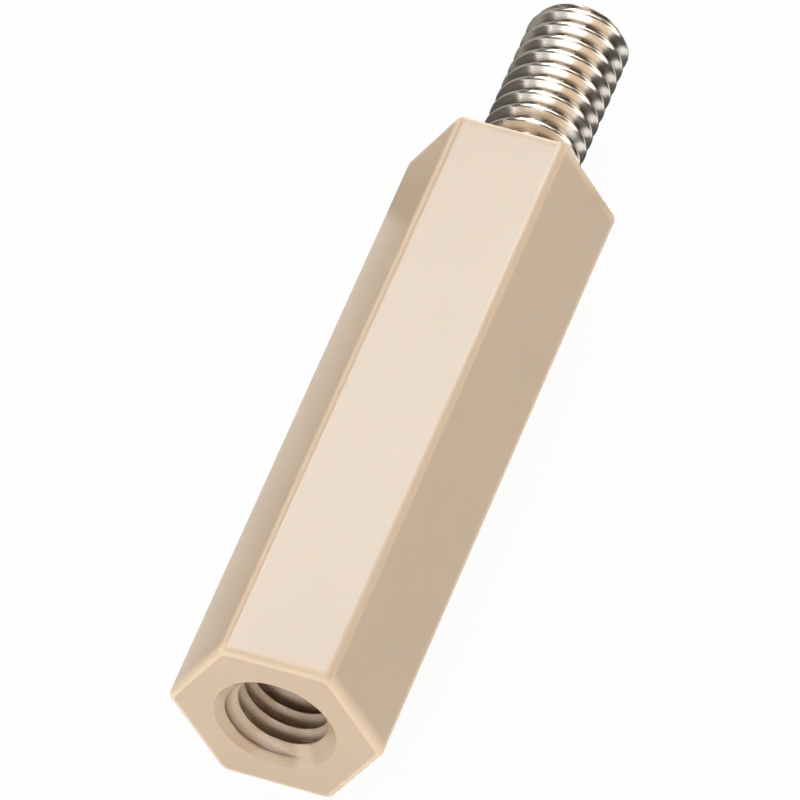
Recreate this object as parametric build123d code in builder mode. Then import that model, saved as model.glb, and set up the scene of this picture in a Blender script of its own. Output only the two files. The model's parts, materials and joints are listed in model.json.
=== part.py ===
"""Hex standoff: a moulded plastic pillar with a metal stud in one end and a threaded hole in the other.

Sizes are millimetres. X runs along the axis towards the tip of the stud, Z is up, and the
pillar lies on one of its flats. The origin is the centre of the shoulder, which is the end
face that the stud comes out of.
"""
import os
from math import cos, pi, radians, sin, tan

from build123d import *

# Hexagonal pillar
across_flats = 7.0
body_length = 26.0
corner_radius = 0.45  # round of the six long edges
rim_radius = 0.2  # round of the edges of both end faces

# Thread, the same size in the hole and on the stud
thread_diameter = 4.0
thread_pitch = 0.7
thread_angle = 60.0
thread_depth_share = 0.6134  # depth of the thread, as a share of its pitch
groove_overrun = 0.1  # how far the cut of a groove reaches past the crests

# Threaded hole in the open end
bore_depth = 12.0  # from the open end to where the point begins
bore_point_angle = 118.0
mouth_angle = 90.0
mouth_margin = 0.3  # how far the lead-in cone reaches past the thread, on the radius

# Stud, and its anchor inside the pillar
stud_length = 8.0
seat_depth = 0.1  # how far the full thread goes below the shoulder
neck_length = 0.8
knurl_rise = 0.4  # how far the knurl stands out past the thread, on the radius
knurl_teeth = 14
tooth_height = 0.32
tooth_land_height = 0.06  # height lost where the top of each tooth is turned flat
band_length = 2.2  # length of each of the two knurled bands
band_chamfer = 0.35
groove_width = 1.2
groove_depth = 0.7

# Radii and depths that follow from the sizes above
thread_depth = thread_depth_share * thread_pitch
thread_radius = thread_diameter / 2
core_radius = thread_radius - thread_depth
cut_radius = thread_radius + groove_overrun
cut_half_width = (cut_radius - core_radius) * tan(radians(thread_angle / 2))
bore_radius = (thread_diameter - thread_pitch) / 2
mouth_radius = thread_radius + mouth_margin
mouth_depth = (mouth_radius - bore_radius) / tan(radians(mouth_angle / 2))
point_depth = bore_radius / tan(radians(bore_point_angle / 2))
knurl_radius = thread_radius + knurl_rise
tooth_tip_radius = knurl_radius + tooth_land_height
tooth_root_radius = knurl_radius - tooth_height
band_end_radius = knurl_radius - band_chamfer
groove_radius = knurl_radius - groove_depth

# Places along the axis
open_end_x = -body_length
mouth_bottom_x = open_end_x + mouth_depth
bore_end_x = open_end_x + bore_depth
neck_front_x = -seat_depth
front_band_x = neck_front_x - neck_length
groove_front_x = front_band_x - band_length
groove_back_x = groove_front_x - groove_width
anchor_end_x = groove_back_x - band_length
tip_chamfer_x = stud_length - thread_depth
thread_turns = int(stud_length / thread_pitch)
first_turn_x = thread_pitch / 2


def knurl_points():
    """Corners of the straight knurl's section, a tooth tip and a root in turn."""
    corners = []
    for corner in range(2 * knurl_teeth):
        angle = pi * corner / knurl_teeth
        radius = tooth_root_radius if corner % 2 else tooth_tip_radius
        corners.append((radius * cos(angle), radius * sin(angle)))
    return corners


def band_outline(back_x, front_x):
    """Upper half of one knurled band's outline, with both ends chamfered."""
    return [
        (back_x, band_end_radius),
        (back_x + band_chamfer, knurl_radius),
        (front_x - band_chamfer, knurl_radius),
        (front_x, band_end_radius),
    ]


def turn_outline(middle_x):
    """Section of the groove between two crests of the thread."""
    return [
        (middle_x - cut_half_width, cut_radius),
        (middle_x, core_radius),
        (middle_x + cut_half_width, cut_radius),
    ]


# Stud: a knurled anchor with a locking groove, a neck, and a shank with a closed ring for each turn
with BuildPart() as threaded_stud:
    with BuildSketch(Plane.YZ.offset(anchor_end_x)):
        with BuildLine():
            Polyline(*knurl_points(), close=True)
        make_face()
    extrude(amount=front_band_x - anchor_end_x)
    with BuildSketch(Plane.XY):
        with BuildLine():
            Polyline(
                (anchor_end_x, 0),
                *band_outline(anchor_end_x, groove_back_x),
                (groove_back_x, groove_radius),
                (groove_front_x, groove_radius),
                *band_outline(groove_front_x, front_band_x),
                (front_band_x, 0),
                close=True,
            )
        make_face()
    revolve(axis=Axis.X, mode=Mode.INTERSECT)
    with BuildSketch(Plane.XY):
        with BuildLine():
            Polyline(
                (front_band_x, 0),
                (front_band_x, core_radius),
                (neck_front_x, core_radius),
                (neck_front_x, thread_radius),
                (tip_chamfer_x, thread_radius),
                (stud_length, core_radius),
                (stud_length, 0),
                close=True,
            )
        make_face()
    revolve(axis=Axis.X)
    with BuildSketch(Plane.XY):
        for turn in range(thread_turns):
            with BuildLine():
                Polyline(*turn_outline(first_turn_x + turn * thread_pitch), close=True)
            make_face()
    revolve(axis=Axis.X, mode=Mode.SUBTRACT)

# Pillar: a rounded hexagon with the blind hole in its open end, moulded round the stud's anchor
with BuildPart() as hex_body:
    with BuildSketch(Plane.YZ.offset(open_end_x)) as section:
        RegularPolygon(radius=across_flats / 2, side_count=6, major_radius=False)
        fillet(section.vertices(), radius=corner_radius)
    extrude(amount=body_length)
    end_faces = hex_body.faces().filter_by(Axis.X)
    fillet(end_faces.edges(), radius=rim_radius)
    with BuildSketch(Plane.XY):
        with BuildLine():
            Polyline(
                (open_end_x, 0),
                (open_end_x, mouth_radius),
                (mouth_bottom_x, bore_radius),
                (bore_end_x, bore_radius),
                (bore_end_x + point_depth, 0),
                close=True,
            )
        make_face()
    revolve(axis=Axis.X, mode=Mode.SUBTRACT)
    add(threaded_stud.part, mode=Mode.SUBTRACT)

threaded_stud.part.label = "threaded_stud"
hex_body.part.label = "hex_body"

os.makedirs("parts", exist_ok=True)
export_step(threaded_stud.part, "parts/threaded_stud.step")
export_step(hex_body.part, "parts/hex_body.step")
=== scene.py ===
"""Looks of the hex standoff: the moulded pillar and the plated stud, each with its helical thread.

Sizes are metres. X runs along the axis towards the tip of the stud, Z is up, and the pillar lies
on one of its flats. The shoulder, which the stud comes out of, is at X 0.
"""
import json
import math

import bmesh
import bpy
import numpy as np
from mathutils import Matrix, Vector


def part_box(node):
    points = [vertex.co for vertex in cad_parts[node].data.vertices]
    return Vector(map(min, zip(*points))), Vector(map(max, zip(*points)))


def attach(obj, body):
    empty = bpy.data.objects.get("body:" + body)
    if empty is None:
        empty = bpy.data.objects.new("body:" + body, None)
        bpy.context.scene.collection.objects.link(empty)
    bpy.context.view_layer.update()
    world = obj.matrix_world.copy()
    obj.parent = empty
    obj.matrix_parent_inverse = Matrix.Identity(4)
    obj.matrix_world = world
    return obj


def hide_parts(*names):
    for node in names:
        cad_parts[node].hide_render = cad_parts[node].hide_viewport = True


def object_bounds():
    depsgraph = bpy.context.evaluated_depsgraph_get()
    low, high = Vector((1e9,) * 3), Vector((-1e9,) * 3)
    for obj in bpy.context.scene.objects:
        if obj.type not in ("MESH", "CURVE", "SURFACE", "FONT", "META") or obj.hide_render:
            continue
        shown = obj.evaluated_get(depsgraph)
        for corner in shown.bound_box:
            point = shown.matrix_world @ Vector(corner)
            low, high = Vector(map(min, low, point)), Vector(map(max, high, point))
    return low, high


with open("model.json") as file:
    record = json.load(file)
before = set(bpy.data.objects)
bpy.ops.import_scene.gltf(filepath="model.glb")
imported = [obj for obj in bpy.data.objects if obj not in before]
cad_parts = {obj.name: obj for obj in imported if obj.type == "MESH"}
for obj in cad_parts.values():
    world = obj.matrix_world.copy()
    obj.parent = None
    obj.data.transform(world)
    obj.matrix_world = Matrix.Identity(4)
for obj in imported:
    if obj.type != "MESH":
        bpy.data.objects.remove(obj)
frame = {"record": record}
cad_low, cad_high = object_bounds()

# Sizes read from the frame
mm = 0.001
body_low, body_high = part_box("hex_body")
stud_low, stud_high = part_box("threaded_stud")
mounts = {mount["name"]: mount for mount in frame["record"]["mounts"]}
across_flats = body_high.z - body_low.z
body_length = body_high.x - body_low.x
open_end_x = body_low.x
shoulder_x = body_high.x
tip_x = stud_high.x
anchor_end_x = stud_low.x
knurl_radius = stud_high.y
thread_radius = mounts["stud"]["dims"]["r_mm"] * mm
bore_radius = mounts["threaded_hole"]["dims"]["r_mm"] * mm
mouth_bottom_x = mounts["threaded_hole"]["pos_m"][0]
bore_end_x = mouth_bottom_x + mounts["threaded_hole"]["dims"]["length_mm"] * mm

# Sizes that repeat those of the solids, with angles in degrees
corner_radius = 0.45 * mm
rim_radius = 0.2 * mm
thread_pitch = 0.7 * mm
thread_depth_share = 0.6134
thread_depth = thread_depth_share * thread_pitch
core_radius = thread_radius - thread_depth
mouth_margin = 0.3 * mm
mouth_radius = thread_radius + mouth_margin
bore_point_angle = 118.0
bore_point_depth = bore_radius / math.tan(math.radians(bore_point_angle / 2))
seat_depth = 0.1 * mm
seat_x = -seat_depth
neck_length = 0.8 * mm
tooth_height = 0.32 * mm
tooth_land_height = 0.06 * mm
band_length = 2.2 * mm
band_chamfer = 0.35 * mm
groove_depth = 0.7 * mm
knurl_teeth = 14

# Form of the threads, with shares of the pitch, of a flank and of a turn
crest_share = 0.12
flank_share = 0.44
flank_round_share = 0.12
stud_depth_share = 0.51
stud_turn_share = -0.18
bore_turn_share = 0.0
stud_allowance = 0.05 * mm
stud_root_radius = thread_radius - stud_depth_share * thread_pitch
bore_allowance = 0.03 * mm
bore_groove_depth = thread_radius - bore_radius + bore_allowance
bore_run_out_turns = 1.5
bore_run_out = bore_run_out_turns * thread_pitch
crossing_round = 0.03 * mm  # where a thread meets the cone of the mouth or the chamfer of the tip

# Fineness of the meshes
sides = 6
corner_steps = 10
flat_steps = 30
rim_steps = 6
stud_steps_per_turn = 20
bore_steps_per_turn = 16
end_face_shares = (0.05, 0.5, 0.95)
length_shares = (0.02, 0.25, 0.5, 0.75, 0.98)
sharp_angle = 40.0
side_angle = 2 * math.pi / sides
half_corner_steps = corner_steps // 2
side_steps = corner_steps + flat_steps
around = sides * side_steps
round_angles = 2 * np.pi * np.arange(around) / around

# The photo, in pixels: its width, where the middle of the pillar falls, and how wide the flats are there
picture_px = 800
body_middle_px = (396.3, 452.1)
across_flats_px = 195.4

# The camera, with angles in degrees and its sensor in millimetres
view_azimuth = -70.88
view_elevation = 51.06
view_distance_share = 53.5  # of the width across flats
view_distance = view_distance_share * across_flats
sensor_width = 36.0
nearest_seen = 0.01
farthest_seen = 10.0

# Colours, linear
plastic_colour = (0.60, 0.46, 0.32)
# plastic_painted_highlight_colour is a painted highlight: paler, golden colour along the rims and long
# edges in place of their sheen.
plastic_painted_highlight_colour = (0.86, 0.71, 0.52)
# plastic_painted_shade_colour is painted shade: it darkens the grooves of the hole's thread.
plastic_painted_shade_colour = (0.22, 0.13, 0.08)
nickel_colour = (0.88, 0.82, 0.73)
# nickel_painted_shade_colour is painted shade: it darkens the grooves of the stud's thread and its anchor.
nickel_painted_shade_colour = (0.32, 0.23, 0.15)
floor_colour = (0.95, 0.95, 0.95)
dark_grey = (0.1, 0.1, 0.1)
middle_grey = (0.4, 0.4, 0.4)
white = (1.0, 1.0, 1.0)
pale_cream_light = (1.0, 0.95, 0.87)
cream_light = (1.0, 0.9, 0.76)
warm_light = (1.0, 0.74, 0.52)

# Finish of the plastic, with a painted highlight along each edge and painted shade in the grooves of the
# hole's thread. A noise has its waves for each millimetre and its layers of detail.
plastic_mottling_noise = (0.35, 3)
plastic_mottling_share = 0.04  # how far the colour goes down and up
plastic_painted_highlight_share = 0.6
plastic_painted_shade_share = 0.66
plastic_painted_shade_marks = (0.4, 0.95)  # where the dark of a root begins, and where it is full
plastic_gloss_noise = (2.5, 4)
plastic_roughness = (0.22, 0.28)
plastic_specular = 1.0
plastic_grain_noise = (9, 2)
plastic_grain_strength = 0.12
plastic_grain_height = 0.02 * mm
subsurface_share = 0.6
subsurface_colour_shares = (1.0, 0.5, 0.25)
subsurface_reach = 0.5 * mm

# Finish of the nickel, with painted shade in the grooves of its thread
nickel_painted_shade_share = 0.8
nickel_painted_shade_marks = (0.5, 0.9)
nickel_gloss_noise = (1.5, 4)
nickel_roughness = (0.16, 0.28)
tool_line_noise = (3, 3)
tool_line_stretch = (8, 1, 1)
tool_line_strength = 0.1
tool_line_height = 0.01 * mm

# The stage
floor_reach = 2.0
floor_white_share = 0.95
matt_roughness = 0.9
sky_strength = 0.08


def direction(angle):
    """Unit vectors across the axis, for one angle or several."""
    return np.stack([np.cos(angle), np.sin(angle)], axis=-1)


def ring_at(x, y, z):
    """Points of one ring across the axis."""
    return np.stack([np.broadcast_to(x, np.shape(y)), y, z], axis=-1)


def circle(x, radius):
    """Ring of a constant radius, or of a radius for each of its points."""
    radius = np.broadcast_to(radius, around)
    return ring_at(x, radius * np.cos(round_angles), radius * np.sin(round_angles))


def hexagon(x, inset):
    """Ring of the rounded hexagon, moved inwards, with corners at +Y and -Y.

    It starts at the middle of a corner.
    """
    radius = corner_radius - inset
    half_angle = side_angle / 2
    centre_reach = (across_flats / 2 - corner_radius) / math.cos(half_angle)
    arc_shares = np.arange(half_corner_steps) / half_corner_steps
    flat_shares = np.arange(flat_steps)[:, None] / flat_steps
    points = []
    for side in range(sides):
        corner = side_angle * side
        following = side_angle * (side + 1)
        corner_centre = centre_reach * direction(corner)
        following_centre = centre_reach * direction(following)
        outwards = radius * direction(corner + half_angle)
        start = corner_centre + outwards
        end = following_centre + outwards
        points.append(corner_centre + radius * direction(corner + half_angle * arc_shares))
        points.append(start + (end - start) * flat_shares)
        points.append(following_centre + radius * direction(following - half_angle * (1 - arc_shares)))
    outline = np.concatenate(points)
    return ring_at(x, outline[:, 0], outline[:, 1])


def thread_rise(x, turn_share):
    """Height of a right-hand thread round the ring at x: 0 in the root and 1 on the crest."""
    turn = (x / thread_pitch - round_angles / (2 * np.pi) - turn_share) % 1.0
    from_crest = np.abs(turn - 0.5)
    share = np.clip((crest_share / 2 + flank_share - from_crest) / flank_share, 0, 1)
    near_end = np.minimum(share, 1 - share)
    curved = near_end**2 / (2 * flank_round_share)
    straight = near_end - flank_round_share / 2
    half = np.where(near_end < flank_round_share, curved, straight) / (1 - flank_round_share)
    return np.where(share < 0.5, half, 1 - half)


def larger(one, other):
    """The larger of two sizes, with a small round where they cross."""
    return (one + other + np.sqrt((one - other) ** 2 + crossing_round**2)) / 2


def stud_thread_radius(x):
    """Radius of the stud's thread round the ring at x, with the chamfer at its tip."""
    height = thread_radius - stud_allowance - stud_root_radius
    thread = stud_root_radius + height * thread_rise(x, stud_turn_share)
    chamfer = core_radius + (tip_x - x)
    return -larger(-thread, -chamfer)


def bore_groove(x):
    """Depth of the hole's thread round the ring at x: 0 on the wall and 1 in the root.

    It runs out near the bottom of the hole.
    """
    return np.clip((bore_end_x - x) / bore_run_out, 0, 1) * thread_rise(x, bore_turn_share)


def bore_thread(x):
    """Radius of the hole round the ring at x, with the cone of its mouth, and the mark where shade is
    painted into the root.
    """
    groove = bore_groove(x)
    thread = bore_radius + bore_groove_depth * groove
    cone = mouth_radius - (x - open_end_x)
    cut = np.clip((thread - cone) / crossing_round, 0, 1)
    return larger(thread, cone), groove * cut


def knurl_radii(limit):
    """Radius round the knurl, whose teeth end at the limit."""
    tooth = (round_angles / (2 * np.pi) * knurl_teeth) % 1.0
    sharp_radius = knurl_radius + tooth_land_height
    root_radius = knurl_radius - tooth_height
    height = np.abs(2 * tooth - 1)
    return np.minimum(root_radius + (sharp_radius - root_radius) * height, limit)


def band_rings(back_x, front_x):
    """Rings of one knurled band, with both ends chamfered."""
    end_radius = knurl_radius - band_chamfer
    return [
        circle(back_x, knurl_radii(end_radius)),
        circle(back_x + band_chamfer, knurl_radii(knurl_radius)),
        circle(front_x - band_chamfer, knurl_radii(knurl_radius)),
        circle(front_x, knurl_radii(end_radius)),
    ]


def anchor_rings():
    """Rings of the anchor from its end to the start of the thread: two bands, a groove and a neck."""
    groove_radius = knurl_radius - groove_depth
    neck_x = seat_x - neck_length
    groove_back_x = anchor_end_x + band_length
    groove_front_x = neck_x - band_length
    return [
        *band_rings(anchor_end_x, groove_back_x),
        circle(groove_back_x, groove_radius),
        circle(groove_front_x, groove_radius),
        *band_rings(groove_front_x, neck_x),
        circle(neck_x, core_radius),
        circle(seat_x, core_radius),
    ]


def rim_rings(end_x, inwards):
    """Rings round the edge of an end face, from the face to the sides.

    inwards is the way into the pillar along X.
    """
    rings = []
    for step in range(rim_steps + 1):
        angle = math.pi / 2 * step / rim_steps
        inset = rim_radius * (1 - math.sin(angle))
        rings.append(hexagon(end_x + inwards * rim_radius * (1 - math.cos(angle)), inset))
    return rings


def blend_rings(one, other, shares):
    """Rings between two flat rings."""
    return [one + (other - one) * share for share in shares]


def stations(start, end, steps_per_turn):
    """Places along a thread, close enough together to show its form."""
    count = math.ceil(abs(end - start) / thread_pitch * steps_per_turn) + 1
    return np.linspace(start, end, count)


def loft(name, rings, marks, first_point, last_point):
    """Closed mesh object through rings of equally many points, with a fan to a point at each end.

    marks holds the point attributes by name: a number for each ring, or for each point of it.
    """
    points = np.concatenate([*rings, [first_point, last_point]])
    first, last = len(points) - 2, len(points) - 1
    final_ring = (len(rings) - 1) * around
    faces = []
    for ring in range(len(rings) - 1):
        for step in range(around):
            here, there = ring * around + step, ring * around + (step + 1) % around
            faces.append((here, there, there + around, here + around))
    for step in range(around):
        following = (step + 1) % around
        faces.append((first, following, step))
        faces.append((last, final_ring + step, final_ring + following))
    mesh = bpy.data.meshes.new(name)
    mesh.from_pydata(points.tolist(), [], faces)
    for mark_name, mark in marks.items():
        values = np.concatenate([*[np.broadcast_to(value, around) for value in mark], [0, 0]])
        attribute = mesh.attributes.new(mark_name, "FLOAT", "POINT")
        attribute.data.foreach_set("value", values.astype(np.float32))
    shape = bmesh.new()
    shape.from_mesh(mesh)
    bmesh.ops.recalc_face_normals(shape, faces=shape.faces)
    shape.to_mesh(mesh)
    shape.free()
    mesh.shade_smooth()
    mesh.set_sharp_from_angle(angle=math.radians(sharp_angle))
    piece = bpy.data.objects.new(name, mesh)
    bpy.context.scene.collection.objects.link(piece)
    return piece


def corner_highlight_marks():
    """Mark of the painted highlight along each long edge round the hexagon: 1 at the middle of a corner and
    0 on the flats.
    """
    marks = np.zeros(around)
    for corner in range(sides):
        for step in range(-half_corner_steps, half_corner_steps + 1):
            marks[(corner * side_steps + step) % around] = 1 - abs(step) / half_corner_steps
    return marks


def make_pillar():
    """The moulded pillar, from the bottom of its hole, over the outside, to the pocket of the anchor."""
    rings, edge_highlights, painted_root_shades = [], [], []

    def add(new_rings, edge, root=0):
        """Adds rings that share their marks: the painted highlight of an edge and the painted shade of a
        root.
        """
        rings.extend(new_rings)
        edge_highlights.extend([edge] * len(new_rings))
        painted_root_shades.extend([root] * len(new_rings))

    # Each ring of the hole carries the mark where shade is painted into the grooves of its thread.
    for x in stations(bore_end_x, open_end_x, bore_steps_per_turn):
        radius, root = bore_thread(x)
        add([circle(x, radius)], 0, root)
    mouth = circle(open_end_x, mouth_radius)
    open_rim = rim_rings(open_end_x, 1)
    add(blend_rings(mouth, open_rim[0], end_face_shares), 0)
    # Rims and long edges carry the mark of the painted highlight.
    add(open_rim, 1)
    add([hexagon(open_end_x + body_length * share, 0) for share in length_shares], corner_highlight_marks())
    shoulder_rim = rim_rings(shoulder_x, -1)[::-1]
    add(shoulder_rim, 1)
    pocket = [
        circle(x, stud_thread_radius(x))
        for x in stations(shoulder_x, seat_x, stud_steps_per_turn)
    ]
    add(blend_rings(shoulder_rim[-1], pocket[0], end_face_shares), 0)
    add(pocket, 0)
    add(anchor_rings()[::-1], 0)
    bore_tip = (bore_end_x + bore_point_depth, 0, 0)
    return loft("hex_pillar", rings, {"edge": edge_highlights, "root": painted_root_shades}, bore_tip, (anchor_end_x, 0, 0))


def make_stud():
    """The plated stud: its anchor inside the pillar, and the thread with a chamfered tip."""
    anchor = anchor_rings()
    thread_x = stations(seat_x, tip_x, stud_steps_per_turn)
    thread = [circle(x, stud_thread_radius(x)) for x in thread_x]
    # Marks of painted shade: full on the anchor, and deepest in the grooves of the thread.
    painted_root_shades = [1] * len(anchor) + [1 - thread_rise(x, stud_turn_share) for x in thread_x]
    return loft("plated_stud", anchor + thread, {"root": painted_root_shades}, (anchor_end_x, 0, 0), (tip_x, 0, 0))


def shader(name):
    """A new material, its node tree and its main shader."""
    material = bpy.data.materials.new(name)
    material.use_nodes = True
    tree = material.node_tree
    return material, tree, tree.nodes["Principled BSDF"]


def noise(tree, scale, detail, stretch=(1, 1, 1)):
    """Noise over the object's own space, with its scale in waves for each millimetre."""
    place = tree.nodes.new("ShaderNodeTexCoord")
    spread = tree.nodes.new("ShaderNodeMapping")
    spread.inputs["Scale"].default_value = Vector(stretch) / mm
    texture = tree.nodes.new("ShaderNodeTexNoise")
    texture.inputs["Scale"].default_value = scale
    texture.inputs["Detail"].default_value = detail
    tree.links.new(place.outputs["Object"], spread.inputs["Vector"])
    tree.links.new(spread.outputs["Vector"], texture.inputs["Vector"])
    return texture.outputs["Fac"]


def ranged(tree, value, low, high, start=0, end=1):
    """A value from start to end, spread from low to high."""
    node = tree.nodes.new("ShaderNodeMapRange")
    node.inputs["From Min"].default_value = start
    node.inputs["From Max"].default_value = end
    node.inputs["To Min"].default_value = low
    node.inputs["To Max"].default_value = high
    tree.links.new(value, node.inputs["Value"])
    return node.outputs["Result"]


def mixed(tree, factor, one, other):
    """Colours or sockets mixed by a socket."""
    node = tree.nodes.new("ShaderNodeMix")
    node.data_type = "RGBA"
    tree.links.new(factor, node.inputs["Factor"])
    for socket, colour in ((node.inputs["A"], one), (node.inputs["B"], other)):
        if isinstance(colour, bpy.types.NodeSocket):
            tree.links.new(colour, socket)
        else:
            socket.default_value = (*colour, 1)
    return node.outputs["Result"]


def marked(tree, name):
    """The point attribute that the mesh carries."""
    node = tree.nodes.new("ShaderNodeAttribute")
    node.attribute_name = name
    return node.outputs["Fac"]


def bumped(tree, surface, height, strength, distance):
    """Relief on the shader from a height."""
    node = tree.nodes.new("ShaderNodeBump")
    node.inputs["Strength"].default_value = strength
    node.inputs["Distance"].default_value = distance
    tree.links.new(height, node.inputs["Height"])
    tree.links.new(node.outputs["Normal"], surface.inputs["Normal"])


def plastic_material():
    """Satin moulded plastic: faint mottling, a fine grain, a painted highlight that makes each edge paler
    and more golden, and painted shade in the grooves of the hole's thread.
    """
    material, tree, surface = shader("beige_plastic")
    darker = tuple(part * (1 - plastic_mottling_share) for part in plastic_colour)
    paler = tuple(part * (1 + plastic_mottling_share) for part in plastic_colour)
    mottled = mixed(tree, noise(tree, *plastic_mottling_noise), darker, paler)
    # Painted highlight along the rims and long edges.
    painted_highlight_share = ranged(tree, marked(tree, "edge"), 0, plastic_painted_highlight_share)
    highlighted = mixed(tree, painted_highlight_share, mottled, plastic_painted_highlight_colour)
    # Painted shade in the grooves of the hole's thread.
    painted_root_shade_share = ranged(tree, marked(tree, "root"), 0, plastic_painted_shade_share, *plastic_painted_shade_marks)
    colour = mixed(tree, painted_root_shade_share, highlighted, plastic_painted_shade_colour)
    tree.links.new(colour, surface.inputs["Base Color"])
    roughness = ranged(tree, noise(tree, *plastic_gloss_noise), *plastic_roughness)
    tree.links.new(roughness, surface.inputs["Roughness"])
    surface.inputs["Specular IOR Level"].default_value = plastic_specular
    surface.inputs["Subsurface Weight"].default_value = subsurface_share
    surface.inputs["Subsurface Radius"].default_value = subsurface_colour_shares
    surface.inputs["Subsurface Scale"].default_value = subsurface_reach
    grain = noise(tree, *plastic_grain_noise)
    bumped(tree, surface, grain, plastic_grain_strength, plastic_grain_height)
    return material


def nickel_material():
    """Bright nickel plating: a little uneven, with faint tool lines round the axis, and painted shade that
    darkens the grooves of its thread and its anchor.
    """
    material, tree, surface = shader("nickel_plate")
    # Painted shade in the grooves of the thread, and all over the anchor.
    painted_root_shade_share = ranged(tree, marked(tree, "root"), 0, nickel_painted_shade_share, *nickel_painted_shade_marks)
    colour = mixed(tree, painted_root_shade_share, nickel_colour, nickel_painted_shade_colour)
    tree.links.new(colour, surface.inputs["Base Color"])
    surface.inputs["Metallic"].default_value = 1.0
    roughness = ranged(tree, noise(tree, *nickel_gloss_noise), *nickel_roughness)
    tree.links.new(roughness, surface.inputs["Roughness"])
    tool_lines = noise(tree, *tool_line_noise, tool_line_stretch)
    bumped(tree, surface, tool_lines, tool_line_strength, tool_line_height)
    return material


def dress(piece, node, material):
    """Gives a piece its material, and lets it stand for a solid of the part."""
    piece.data.materials.append(material)
    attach(piece, "root")
    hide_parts(node)


def aim(thing, place, target):
    """Puts a camera or lamp at a place, looking at a target."""
    thing.location = place
    thing.rotation_mode = "QUATERNION"
    thing.rotation_quaternion = (Vector(target) - Vector(place)).to_track_quat("-Z", "Y")


def sight(azimuth, elevation):
    """Direction from the object to a viewer or lamp, by its angles in degrees."""
    turn, rise = math.radians(azimuth), math.radians(elevation)
    return Vector((math.sin(turn) * math.cos(rise), -math.cos(turn) * math.cos(rise), math.sin(rise)))


def make_camera():
    """Camera at the photo's angle, moved sideways so that the pillar falls where it does there."""
    data = bpy.data.cameras.new("camera")
    data.sensor_width = sensor_width
    data.lens = data.sensor_width * across_flats_px * view_distance / across_flats / picture_px
    data.clip_start = nearest_seen
    data.clip_end = farthest_seen
    camera = bpy.data.objects.new("camera", data)
    bpy.context.scene.collection.objects.link(camera)
    back = sight(view_azimuth, view_elevation)
    right = (-back).cross(Vector((0, 0, 1))).normalized()
    up = right.cross(-back)
    metres_per_px = across_flats / across_flats_px
    middle = Vector((open_end_x + body_length / 2, 0, 0))
    target = middle + right * (picture_px / 2 - body_middle_px[0]) * metres_per_px
    target += up * (body_middle_px[1] - picture_px / 2) * metres_per_px
    aim(camera, target + back * view_distance, target)
    bpy.context.scene.camera = camera


def softbox(
    name, azimuth, elevation, distance, width, height, radiance,
    colour=white, mirrored=True, lighting=True,
):
    """Lamp that faces the object, with its angles in degrees and its brightness where 1 is white.

    mirrored says whether it shows in reflections, and lighting whether it lights what is matt.
    """
    data = bpy.data.lights.new(name, "AREA")
    data.shape = "RECTANGLE"
    data.size = width
    data.size_y = height
    data.energy = radiance * math.pi * width * height
    data.color = colour
    lamp = bpy.data.objects.new(name, data)
    lamp.visible_glossy = mirrored
    lamp.visible_diffuse = lighting
    bpy.context.scene.collection.objects.link(lamp)
    middle = (cad_low + cad_high) / 2
    aim(lamp, middle + sight(azimuth, elevation) * distance, middle)


def rectangle(x, y, z):
    """Corners of a flat sheet that goes from one place to another along each axis."""
    return [(x[0], y[0], z[0]), (x[1], y[0], z[0]), (x[1], y[1], z[1]), (x[0], y[1], z[1])]


def make_sheet(name, corners, material):
    """Flat sheet of the stage."""
    mesh = bpy.data.meshes.new(name)
    mesh.from_pydata(corners, [], [(0, 1, 2, 3)])
    mesh.materials.append(material)
    sheet = bpy.data.objects.new(name, mesh)
    bpy.context.scene.collection.objects.link(sheet)
    return sheet


def make_floor():
    """Plain white floor under the pillar. It looks whiter, also in reflections, than its light makes it."""
    material, tree, surface = shader("floor")
    surface.inputs["Base Color"].default_value = (*floor_colour, 1)
    surface.inputs["Roughness"].default_value = matt_roughness
    surface.inputs["Specular IOR Level"].default_value = 0.0
    path = tree.nodes.new("ShaderNodeLightPath")
    seen = path.outputs["Is Camera Ray"]
    for name in ("Is Glossy Ray", "Is Transmission Ray"):
        either = tree.nodes.new("ShaderNodeMath")
        either.operation = "MAXIMUM"
        tree.links.new(seen, either.inputs[0])
        tree.links.new(path.outputs[name], either.inputs[1])
        seen = either.outputs["Value"]
    glow = tree.nodes.new("ShaderNodeEmission")
    blend = tree.nodes.new("ShaderNodeMixShader")
    tree.links.new(ranged(tree, seen, 0, floor_white_share), blend.inputs["Fac"])
    tree.links.new(surface.outputs["BSDF"], blend.inputs[1])
    tree.links.new(glow.outputs["Emission"], blend.inputs[2])
    tree.links.new(blend.outputs["Shader"], tree.nodes["Material Output"].inputs["Surface"])
    across = (-floor_reach, floor_reach)
    make_sheet("floor", rectangle(across, across, (body_low.z, body_low.z)), material)


def grey_card(name, colour, x, y, z):
    """Small card near the standoff, with its places in millimetres. It only shows in what is glossy."""
    material, _, surface = shader(name)
    surface.inputs["Base Color"].default_value = (*colour, 1)
    surface.inputs["Roughness"].default_value = matt_roughness
    card = make_sheet(name, [Vector(corner) * mm for corner in rectangle(x, y, z)], material)
    card.visible_camera = False
    card.visible_diffuse = False
    card.visible_transmission = False
    card.visible_shadow = False


def make_world():
    """Even pale surroundings."""
    world = bpy.data.worlds.new("surroundings")
    world.use_nodes = True
    sky = world.node_tree.nodes["Background"]
    sky.inputs["Color"].default_value = (*white, 1)
    sky.inputs["Strength"].default_value = sky_strength
    bpy.context.scene.world = world


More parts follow.
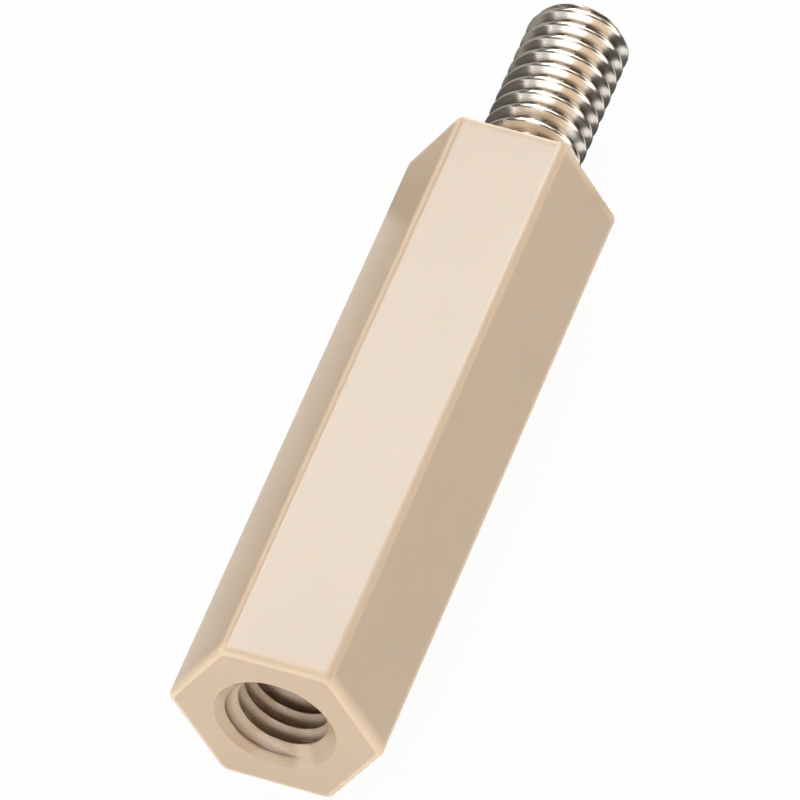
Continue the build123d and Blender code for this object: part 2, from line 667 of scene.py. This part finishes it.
def make_cards():
    """Cards, seen only in reflections, that give the bright stud its dark stripes; the one lying under the
    stud is a painted shadow.
    """
    grey_card("left_front_card", dark_grey, x=(-30, 3), y=(8, 8), z=(-3.5, 5.5))
    grey_card("left_back_card", middle_grey, x=(3, 30), y=(8, 8), z=(-3.5, 5.5))
    grey_card("right_card", dark_grey, x=(0.3, 14), y=(-4.3, -4.3), z=(-1.2, 1.05))
    # A dark sheet flat on the floor under the stud, seen only in reflections: a painted shadow in place of
    # the stud's shade on the floor.
    grey_card("painted_shadow_card", dark_grey, x=(1, 16), y=(-4.8, 8), z=(-3.45, -3.45))


def make_lamps():
    """Soft lamps all round the standoff."""
    softbox(
        "back_softbox", azimuth=108, elevation=53, distance=0.35,
        width=0.30, height=0.085, radiance=5.9,
    )
    softbox(
        "low_back_softbox", azimuth=103, elevation=16, distance=0.35,
        width=0.14, height=0.22, radiance=3.2,
    )
    softbox(
        "back_right_softbox", azimuth=60, elevation=45, distance=0.4,
        width=0.2, height=0.13, radiance=1.8, colour=cream_light,
    )
    softbox(
        "overhead_softbox", azimuth=-97, elevation=82, distance=0.45,
        width=0.2, height=0.6, radiance=0.6,
    )
    softbox(
        "overhead_glow", azimuth=-90, elevation=79, distance=0.45,
        width=0.22, height=0.74, radiance=0.8, lighting=False,
    )
    softbox(
        "right_softbox", azimuth=37, elevation=4, distance=0.45,
        width=0.42, height=0.30, radiance=1.5, colour=pale_cream_light,
    )
    softbox(
        "side_softbox", azimuth=-18, elevation=9, distance=0.45,
        width=0.4, height=0.25, radiance=1.75,
    )
    softbox(
        "warm_softbox", azimuth=-60, elevation=14, distance=0.45,
        width=0.28, height=0.40, radiance=0.72, colour=warm_light,
    )
    softbox(
        "front_softbox", azimuth=-90, elevation=6, distance=0.45,
        width=0.52, height=0.26, radiance=2.2, mirrored=False,
    )
    softbox(
        "high_front_softbox", azimuth=-92, elevation=26, distance=0.45,
        width=0.29, height=0.16, radiance=2.2,
    )
    softbox(
        "left_front_softbox", azimuth=-124, elevation=22, distance=0.45,
        width=0.19, height=0.2, radiance=0.55,
    )
    softbox(
        "left_softbox", azimuth=185, elevation=8, distance=0.5,
        width=1.0, height=0.4, radiance=2.15,
    )


dress(make_pillar(), "hex_body", plastic_material())
dress(make_stud(), "threaded_stud", nickel_material())
make_floor()
make_world()
make_cards()
make_lamps()
make_camera()
bpy.context.scene.view_settings.view_transform = "Standard"
